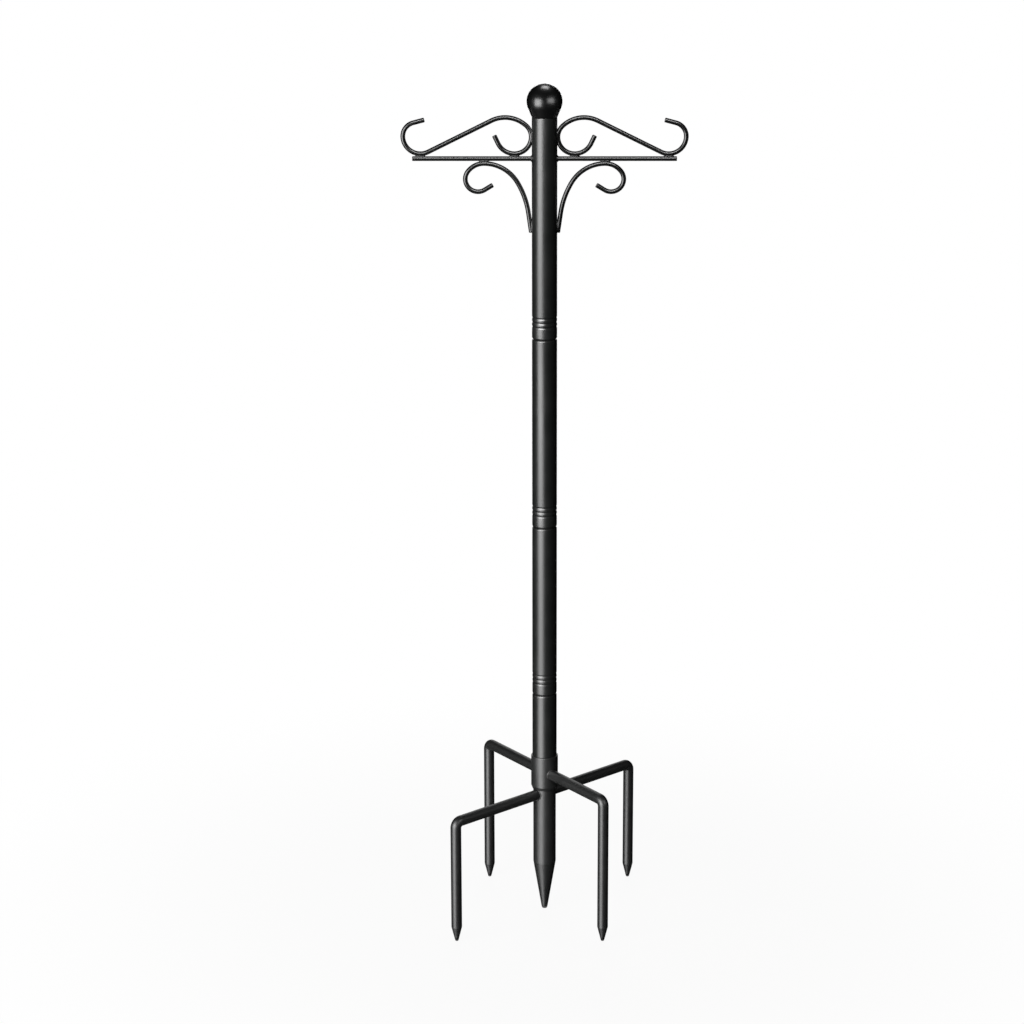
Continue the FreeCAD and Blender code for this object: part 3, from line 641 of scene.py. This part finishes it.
low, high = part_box("swivel_collar")
collar_radius = high.x
running = spike_radius + COLLAR_PLAY
socket = collar_radius - COLLAR_WALL
ledge = spike_top - LEDGE_DROP
collar = turned("coated_swivel_collar", rounded([
    (running, low.z, EDGE_ROUND), (collar_radius - BEVEL_DEPTH, low.z, EDGE_ROUND),
    (collar_radius, low.z + BEVEL_HEIGHT, BEVEL_ROUND), (collar_radius, high.z, COLLAR_RIM_ROUND),
    (socket, high.z, COLLAR_RIM_ROUND), (socket, ledge, EDGE_ROUND), (running, ledge, EDGE_ROUND)]),
    base_coat)
fit(collar, "prong_swivel", "swivel_collar")
print("collar", round((high.z - low.z) / MM, 1), "mm high")

# %% [markdown]
# ## The ball
#
# The ball runs out into a cone that meets the rim of the tube, and a ribbed plug under it grips the bore.
# Its outline is an arc, so a sphere cut and joined to a cone would do, but the turned section has no joint
# to hide.

# %% Ball
BALL_STEPS = 64
UNDER_ANGLE = math.radians(23)
RIB_HEIGHT, RIB_WIDTH = 1.4 * MM, 3.0 * MM
RIB_RISE, RIB_PITCH, RIB_COUNT = 5.0 * MM, 6.0 * MM, 3

low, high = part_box("finial_ball")
ball_radius = high.x
centre = high.z - ball_radius
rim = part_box("arm_tube")[1].z
tube_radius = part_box("arm_tube")[1].x
plug_radius = tube_radius - TUBE_WALL - STEM_GAP
core_radius = plug_radius - RIB_HEIGHT
section = [(0, low.z, 0), (core_radius, low.z, EDGE_ROUND)]
for rib in range(RIB_COUNT):
    start = low.z + RIB_RISE + rib * RIB_PITCH
    end = start + RIB_WIDTH
    section += [(core_radius, start, 0), (plug_radius, end, 0), (core_radius, end, 0)]
section += [(core_radius, rim, EDGE_ROUND), (tube_radius, rim, EDGE_ROUND)]
for step in range(BALL_STEPS):
    angle = -UNDER_ANGLE + (math.pi / 2 + UNDER_ANGLE) * step / BALL_STEPS
    section.append((ball_radius * math.cos(angle), centre + ball_radius * math.sin(angle), 0))
section.append((0, high.z, 0))
ball = turned("lacquered_ball", rounded(section, closed=False), ball_gloss, closed=False)
fit(ball, "arm_section", "finial_ball")
print("ball", round(2 * ball_radius / MM, 1), "mm across, centre at", round(centre / MM, 1), "mm")

# %% [markdown]
# ## Bent rods
#
# The arms and the prongs are straight rod, bent cold round formers: straight runs joined by arcs. A curve
# object with a round bevel could draw one, but it can't thin the rod to a point or round a cut end, so a
# small tree of Geometry Nodes does it. The path goes in as a line of points, each with a girth, the share
# of the rod's radius that it has there. The tree turns the line into a curve and sweeps a circle along it.

# %% The bent rod tree


def group_with(name, inputs):
    """A tree of geometry nodes with inputs (name, kind, default), its input node and its output node."""
    group = bpy.data.node_groups.new(name, "GeometryNodeTree")
    for socket, kind, default in inputs:
        made = group.interface.new_socket(socket, in_out="INPUT", socket_type=kind)
        if default is not None:
            made.default_value = default
    group.interface.new_socket("Geometry", in_out="OUTPUT", socket_type="NodeSocketGeometry")
    return group, add(group, "NodeGroupInput"), add(group, "NodeGroupOutput")


bent_rod, given, result = group_with("bent_rod", (
    ("Path", "NodeSocketGeometry", None), ("Rod Radius", "NodeSocketFloat", 3 * MM),
    ("Sides", "NodeSocketInt", 24), ("Coat", "NodeSocketMaterial", None)))
line = add(bent_rod, "GeometryNodeMeshToCurve", {"Mesh": given.outputs["Path"]})
circle = add(bent_rod, "GeometryNodeCurvePrimitiveCircle",
             {"Resolution": given.outputs["Sides"], "Radius": given.outputs["Rod Radius"]})
girth = add(bent_rod, "GeometryNodeInputNamedAttribute", values={"Name": "girth"}, data_type="FLOAT")
swept = add(bent_rod, "GeometryNodeCurveToMesh",
            {"Curve": line.outputs[0], "Profile Curve": circle.outputs["Curve"],
             "Scale": girth.outputs["Attribute"]}, {"Fill Caps": True})
smooth = add(bent_rod, "GeometryNodeSetShadeSmooth", {"Geometry": swept.outputs[0]})
realized = add(bent_rod, "GeometryNodeRealizeInstances", {"Geometry": smooth.outputs[0]})
coated = add(bent_rod, "GeometryNodeSetMaterial",
             {"Geometry": realized.outputs[0], "Material": given.outputs["Coat"]})
bent_rod.links.new(coated.outputs[0], result.inputs["Geometry"])
print("tree:", bent_rod.name, "with", len(bent_rod.nodes), "nodes")

# %% Running a tree


def line_object(name, lines):
    """An object of points and edges for lines of (point, girth), each closed or open."""
    points, edges, girths = [], [], []
    for stations, closed in lines:
        first = len(points)
        points += [point for point, girth in stations]
        girths += [girth for point, girth in stations]
        edges += [(index, index + 1) for index in range(first, len(points) - 1)]
        if closed:
            edges.append((len(points) - 1, first))
    mesh = bpy.data.meshes.new(name)
    mesh.from_pydata(points, edges, [])
    attribute = mesh.attributes.new("girth", "FLOAT", "POINT")
    attribute.data.foreach_set("value", girths)
    made = bpy.data.objects.new(name, mesh)
    scene.collection.objects.link(made)
    return made


def grown(piece, group, sizes):
    """Run a tree on an object, and keep the result as the object's plain mesh."""
    modifier = piece.modifiers.new(group.name, "NODES")
    modifier.node_group = group
    for item in group.interface.items_tree:
        if item.name in sizes:
            modifier[item.identifier] = sizes[item.name]
    shape = piece.evaluated_get(bpy.context.evaluated_depsgraph_get())
    mesh = bpy.data.meshes.new_from_object(shape)
    piece.modifiers.remove(modifier)
    piece.data = mesh
    for attribute in [item for item in mesh.attributes if item.name == "girth"]:
        mesh.attributes.remove(attribute)
    return piece


print("ready to grow from", bent_rod.name)

# %% [markdown]
# A path is written the way the bender reads it: start here, head that way, run so far, bend round this
# former by so many degrees. A bend is positive to the left of the way along. The ends are swapped for
# stations of their own: a cut end with its edge rounded by the coat, or the turned point of a prong.

# %% Paths and ends
STATION = 1.5 * MM
BEND_STEP = math.radians(5)
CUT_EDGE = 0.9 * MM


def bent_path(start, heading, steps):
    """Points in a plane along runs (length,) and bends (radius, degrees), in millimetres and degrees."""
    turn = math.radians(heading)
    here, ahead = Vector(start) * MM, Vector((math.cos(turn), math.sin(turn)))
    points = [here.copy()]
    for step in steps:
        if len(step) == 1:
            length, turn = step[0] * MM, 0.0
        else:
            turn = math.radians(step[1])
            length = step[0] * MM * abs(turn)
        count = math.ceil(max(length / STATION, abs(turn) / BEND_STEP))
        bit = length / count
        swing = turn / count
        chord = bit if turn == 0 else 2 * bit / abs(swing) * math.sin(abs(swing) / 2)
        for _ in range(count):
            ahead = Matrix.Rotation(swing / 2, 2) @ ahead
            here = here + chord * ahead
            ahead = Matrix.Rotation(swing / 2, 2) @ ahead
            points.append(here.copy())
    return points


def end_profile(corners):
    """Stations (distance from the end, radius) along a turned end."""
    return [tuple(point) for point in rounded([(0, 0, 0), *corners], closed=False)[1:]]


def with_ends(points, first_end, last_end, radius):
    """Stations (point, girth) of a rod whose two ends follow end profiles."""
    stations = [(point, 1.0) for point in points]
    for profile in (last_end, first_end):
        stations.reverse()
        end = stations[0][0]
        ahead = (stations[1][0] - end).normalized()
        shaped = [(end + distance * ahead, girth / radius) for distance, girth in profile]
        reach = profile[-1][0] + STATION / 3
        stations = shaped + [station for station in stations if (station[0] - end).length > reach]
    return stations


rod_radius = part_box("right_hook_scroll")[1].y
cut_end = end_profile([(0, rod_radius, CUT_EDGE), (2 * CUT_EDGE, rod_radius, 0)])
print("stations at a cut end:", len(cut_end))

# %% [markdown]
# ## The arms
#
# One straight crossbar goes through the tube. On each side a rod curls beside the pole, goes over the top,
# falls in a straight slope and ends in the hook, and a second rod rises along the pole, bends out to the
# crossbar and curls under it. The left arm is the right one turned half round the pole.

# %% Arms
ROD_SIDES = 24
HOOK_START, HOOK_HEADING = (62.73, 28.85), -115.6
HOOK_SCROLL = ((11.0,), (22.6, -64.4), (21.0, -90), (18.7, -47.7), (39.2, -68.5), (87.84,), (21.7, 116.2),
               (17.3, 75.3), (14.5,))
BRACE_START, BRACE_HEADING = (16.6, -93.0), 81.7
BRACE_SCROLL = ((24.7,), (105.0, -22.6), (48.7, -59.1), (25.1, -53.8), (15.8, -157.4), (12.1,))

bar_low, bar_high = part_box("crossbar")
bar_level = (bar_low.z + bar_high.z) / 2
hook_path = bent_path(HOOK_START, HOOK_HEADING, HOOK_SCROLL)
brace_path = bent_path(BRACE_START, BRACE_HEADING, BRACE_SCROLL)


def arm_rod(name, points, node):
    """A rod of the arms from points in metres."""
    rod = line_object(name, [(with_ends(points, cut_end, cut_end, rod_radius), False)])
    grown(rod, bent_rod, {"Rod Radius": rod_radius, "Sides": ROD_SIDES, "Coat": rod_coat})
    fit(rod, "arm_section", node)
    print(rod.name, "of", len(rod.data.polygons), "faces")


bar_count = math.ceil((bar_high.x - bar_low.x) / STATION)
arm_rod("bent_crossbar", [Vector((bar_low.x + (bar_high.x - bar_low.x) * index / bar_count, 0, bar_level))
                          for index in range(bar_count + 1)], "crossbar")
for side, sign in (("right", 1), ("left", -1)):
    for kind, path in (("hook_scroll", hook_path), ("brace_scroll", brace_path)):
        arm_rod(f"bent_{side}_{kind}", [Vector((sign * out, 0, bar_level + up)) for out, up in path],
                f"{side}_{kind}")

# %% [markdown]
# ## The prongs
#
# Each prong is thicker rod: a bar that runs out from the spike or the collar, one tight bend, and a leg
# with a turned point. The lower pair is fixed to the spike and the upper pair to the collar, so that they
# fold together.

# %% Prongs
PRONG_SIDES = 32
PRONG_BEND = 8.0    # in millimetres, as the sizes of the two pairs below
POINT_LENGTH, POINT_RADIUS, POINT_ROUND = 20.0 * MM, 2.0 * MM, 1.2 * MM
SHOULDER_ROUND = 6.0 * MM
LOWER_PRONG = {"height": 166.0, "reach": 156.5, "inner": 4.0, "heading": 42.8}
UPPER_PRONG = {"height": 195.8, "reach": 130.6, "inner": 16.5, "heading": -54.5}

prong_radius = 7.0 * MM
prong_point = end_profile([(0, POINT_RADIUS, POINT_ROUND), (POINT_LENGTH, prong_radius, SHOULDER_ROUND),
                           (POINT_LENGTH + SHOULDER_ROUND, prong_radius, 0)])
prong_end = end_profile([(0, prong_radius, CUT_EDGE), (2 * CUT_EDGE, prong_radius, 0)])


def prong(node, body, height, reach, inner, heading):
    """A prong whose bar lies at a height and points along a heading, in millimetres and degrees."""
    leg, bar = height - PRONG_BEND, reach - PRONG_BEND - inner
    path = bent_path((reach, 0), 90, ((leg,), (PRONG_BEND, 90), (bar,)))
    turn = math.radians(heading)
    points = [Vector((out * math.cos(turn), out * math.sin(turn), up)) for out, up in path]
    rod = line_object(f"bent_{node}", [(with_ends(points, prong_point, prong_end, prong_radius), False)])
    grown(rod, bent_rod, {"Rod Radius": prong_radius, "Sides": PRONG_SIDES, "Coat": base_coat})
    fit(rod, body, node)
    print(rod.name, "of", len(rod.data.polygons), "faces")


for side, half_turn in (("right", 0), ("left", 180)):
    for level, body, sizes in (("lower", "base", LOWER_PRONG), ("upper", "prong_swivel", UPPER_PRONG)):
        prong(f"{level}_prong_{side}", body, sizes["height"], sizes["reach"], sizes["inner"],
              sizes["heading"] + half_turn)

# %% [markdown]
# ## Weld beads
#
# The rods are welded to the tube, to the crossbar, to the collar and to the spike, and the coat runs over
# the beads. A bead follows the seam between two round pieces, with the small even ripples of a weld that
# froze step by step. A seam is a line, so Geometry Nodes grow the bead on it: the line is divided evenly, a
# sine along its length gives the ripples and a noise with a fixed seed makes them a little uneven.

# %% The weld bead tree
BEAD_STEP, BEAD_SIDES = 0.4 * MM, 12
CHANCE_SIZE = 4 * MM    # length over which a bead swells and shrinks

weld_bead, given, result = group_with("weld_bead", (
    ("Seam", "NodeSocketGeometry", None), ("Bead Radius", "NodeSocketFloat", 1.2 * MM),
    ("Ripple Pitch", "NodeSocketFloat", 1.6 * MM), ("Ripple Depth", "NodeSocketFloat", 0.08),
    ("Unevenness", "NodeSocketFloat", 0.25), ("Seed", "NodeSocketFloat", 7.0),
    ("Coat", "NodeSocketMaterial", None)))
line = add(weld_bead, "GeometryNodeMeshToCurve", {"Mesh": given.outputs["Seam"]})
even = add(weld_bead, "GeometryNodeResampleCurve", {"Curve": line.outputs[0]}, {"Length": BEAD_STEP},
           mode="LENGTH")
along = add(weld_bead, "GeometryNodeSplineParameter")
turns = add(weld_bead, "ShaderNodeMath", {0: along.outputs["Length"], 1: given.outputs["Ripple Pitch"]},
            operation="DIVIDE")
phase = add(weld_bead, "ShaderNodeMath", {0: turns.outputs[0]}, {1: math.tau}, operation="MULTIPLY")
wave = add(weld_bead, "ShaderNodeMath", {0: phase.outputs[0]}, operation="SINE")
ripple = add(weld_bead, "ShaderNodeMath", {0: wave.outputs[0], 1: given.outputs["Ripple Depth"]}, {2: 1.0},
             operation="MULTIPLY_ADD")
place = add(weld_bead, "GeometryNodeInputPosition")
chance = add(weld_bead, "ShaderNodeTexNoise", {"Vector": place.outputs[0], "W": given.outputs["Seed"]},
             {"Scale": 1 / CHANCE_SIZE}, noise_dimensions="4D")
centred = add(weld_bead, "ShaderNodeMath", {0: chance.outputs[0]}, {1: 0.5}, operation="SUBTRACT")
uneven = add(weld_bead, "ShaderNodeMath",
             {0: centred.outputs[0], 1: given.outputs["Unevenness"], 2: ripple.outputs[0]},
             operation="MULTIPLY_ADD")
girth = add(weld_bead, "GeometryNodeInputNamedAttribute", values={"Name": "girth"}, data_type="FLOAT")
size = add(weld_bead, "ShaderNodeMath", {0: uneven.outputs[0], 1: girth.outputs["Attribute"]},
           operation="MULTIPLY")
circle = add(weld_bead, "GeometryNodeCurvePrimitiveCircle", {"Radius": given.outputs["Bead Radius"]},
             {"Resolution": BEAD_SIDES})
swept = add(weld_bead, "GeometryNodeCurveToMesh",
            {"Curve": even.outputs[0], "Profile Curve": circle.outputs["Curve"], "Scale": size.outputs[0]},
            {"Fill Caps": True})
smooth = add(weld_bead, "GeometryNodeSetShadeSmooth", {"Geometry": swept.outputs[0]})
realized = add(weld_bead, "GeometryNodeRealizeInstances", {"Geometry": smooth.outputs[0]})
coated = add(weld_bead, "GeometryNodeSetMaterial",
             {"Geometry": realized.outputs[0], "Material": given.outputs["Coat"]})
weld_bead.links.new(coated.outputs[0], result.inputs["Geometry"])
print("tree:", weld_bead.name, "with", len(weld_bead.nodes), "nodes")

# %% [markdown]
# The seams are worked out from the pieces they join. Beside the pole a seam is where the round rod meets
# the round tube. Along the crossbar it is the groove between two rods that touch. Where a rod runs into a
# tube, the seam is the saddle that two crossing cylinders make.

# %% Seams
TAPER = (0.35, 0.75, 1.0)
SADDLE_POINTS = 48
LEAST_OVERLAP = 0.02 * MM    # a rod that enters the tube by less has no seam there
BAR_SEAM, BAR_SEAM_STEPS = 13 * MM, 8
BESIDE_TOUCH = 0.46    # how far beside the line of touch a bead lies, in radii of the rod
SPIKE_WELD_FROM, SPIKE_WELD_TO = 140, 400    # degrees, which leave out the top, close under the collar


def tapered(points):
    """An open seam whose bead swells from its ends."""
    count = len(points)
    girths = [TAPER[min(index, count - 1 - index, len(TAPER) - 1)] for index in range(count)]
    return list(zip(points, girths)), False


def seams_beside_pole(path, sign):
    """The two seams where a notched rod lies along the tube."""
    touching = []
    for out, up in path:
        across = (tube_radius ** 2 + out ** 2 - rod_radius ** 2) / (2 * out)
        if across < tube_radius - LEAST_OVERLAP:
            touching.append((across, math.sqrt(tube_radius ** 2 - across ** 2), bar_level + up))
    return [tapered([Vector((sign * across, front * deep, height)) for across, deep, height in touching])
            for front in (-1, 1)]


def seams_along_bar(middle, above):
    """The two seams between the crossbar and a rod that touches it from above (1) or below (-1)."""
    places = [middle + BAR_SEAM * (step / BAR_SEAM_STEPS - 0.5) for step in range(BAR_SEAM_STEPS + 1)]
    return [tapered([Vector((along, front * rod_radius * BESIDE_TOUCH, bar_level + above * rod_radius))
                     for along in places]) for front in (-1, 1)]


def saddle(rod, tube, heading, height, start=0, end=360):
    """The seam round a rod that runs into a tube, in degrees from the rod's left side over its top."""
    turn = Matrix.Rotation(math.radians(heading), 3, "Z")
    closed = end - start == 360
    count = SADDLE_POINTS if closed else SADDLE_POINTS + 1
    points = []
    for step in range(count):
        angle = math.radians(start + (end - start) * step / SADDLE_POINTS)
        aside, up = rod * math.cos(angle), rod * math.sin(angle)
        points.append(turn @ Vector((math.sqrt(tube ** 2 - aside ** 2), aside, height + up)))
    return ([(point, 1.0) for point in points], True) if closed else tapered(points)


half = len(hook_path) // 2
scroll_foot = min(hook_path[:half], key=lambda point: point.y)
hook_foot = min(hook_path[half:], key=lambda point: point.y)
brace_top = max(brace_path, key=lambda point: point.y)
arm_seams = []
for sign, heading in ((1, 0), (-1, 180)):
    arm_seams += seams_beside_pole(hook_path, sign) + seams_beside_pole(brace_path, sign)
    arm_seams += seams_along_bar(sign * scroll_foot.x, 1)
    arm_seams += seams_along_bar(sign * hook_foot.x, 1)
    arm_seams += seams_along_bar(sign * brace_top.x, -1)
    arm_seams.append(saddle(rod_radius, tube_radius, heading, bar_level))
print("seams on the arms:", len(arm_seams), "scroll foot at", round(scroll_foot.x / MM, 1), "mm")

# %% Beads
arm_welds = grown(line_object("arm_weld_beads", arm_seams), weld_bead,
                  {"Bead Radius": 1.2 * MM, "Ripple Pitch": 1.5 * MM, "Coat": rod_coat})
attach(arm_welds, "arm_section")

collar_seams = [saddle(prong_radius, collar_radius, UPPER_PRONG["heading"] + turn,
                       UPPER_PRONG["height"] * MM) for turn in (0, 180)]
collar_welds = grown(line_object("collar_weld_beads", collar_seams), weld_bead,
                     {"Bead Radius": 0.8 * MM, "Ripple Pitch": 2.0 * MM, "Coat": base_coat})
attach(collar_welds, "prong_swivel")

spike_seams = [saddle(prong_radius, spike_radius, LOWER_PRONG["heading"] + turn,
                      LOWER_PRONG["height"] * MM, SPIKE_WELD_FROM, SPIKE_WELD_TO) for turn in (0, 180)]
spike_welds = grown(line_object("spike_weld_beads", spike_seams), weld_bead,
                    {"Bead Radius": 0.8 * MM, "Ripple Pitch": 2.0 * MM, "Coat": base_coat})
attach(spike_welds, "base")
for welds in (arm_welds, collar_welds, spike_welds):
    print(welds.name, "of", len(welds.data.polygons), "faces")

# %% [markdown]
# ## Flags between the lights and the pieces
#
# A photographer keeps a box off one piece with a card on a stand. Blender can link a light to the pieces
# that it reaches, which does the same with no card in the way. The rim box is for the tubes, the collar,
# the spike and the pieces inside them, and the low key for those and the prongs. The rod box is for the
# arms alone. None of the three shows on the ball. The fill box is for the ball, the prongs and the inner
# pieces. The overhead box is kept off all the rods. The back box is kept off the rods and the inner pieces,
# which the weaker box behind lights instead.

# %% Linked lights


def link_light(box, pieces, state):
    """Let a box of light reach only these pieces (INCLUDE), or all but these (EXCLUDE)."""
    linked = bpy.data.collections.new(f"linked_to_{box.name}")
    for piece in pieces:
        linked.objects.link(piece)
    for entry in linked.collection_objects:
        entry.light_linking.link_state = state
    box.light_linking.receiver_collection = linked
    print(box.name, state.lower() + "s", len(pieces), "pieces")


made = [piece for piece in scene.objects if piece.type == "MESH"]
tubes = [piece for piece in made if piece.name.startswith("coated_")]
inner = [piece for piece in made if piece.name.startswith(("plated_", "moulded_"))]
rods = [piece for piece in made if piece.name.startswith("bent_")]
prongs = [rod for rod in rods if "prong" in rod.name] + [collar_welds, spike_welds]
arms = [rod for rod in rods if "prong" not in rod.name] + [arm_welds]
link_light(rim_box, tubes + inner, "INCLUDE")
link_light(rod_box, arms, "INCLUDE")
link_light(fill_box, [ball, *prongs, *inner], "INCLUDE")
link_light(low_key_box, tubes + prongs + inner, "INCLUDE")
link_light(overhead_box, arms + prongs, "EXCLUDE")
link_light(back_box, arms + prongs + inner, "EXCLUDE")
link_light(rod_back_box, arms + prongs + inner, "INCLUDE")
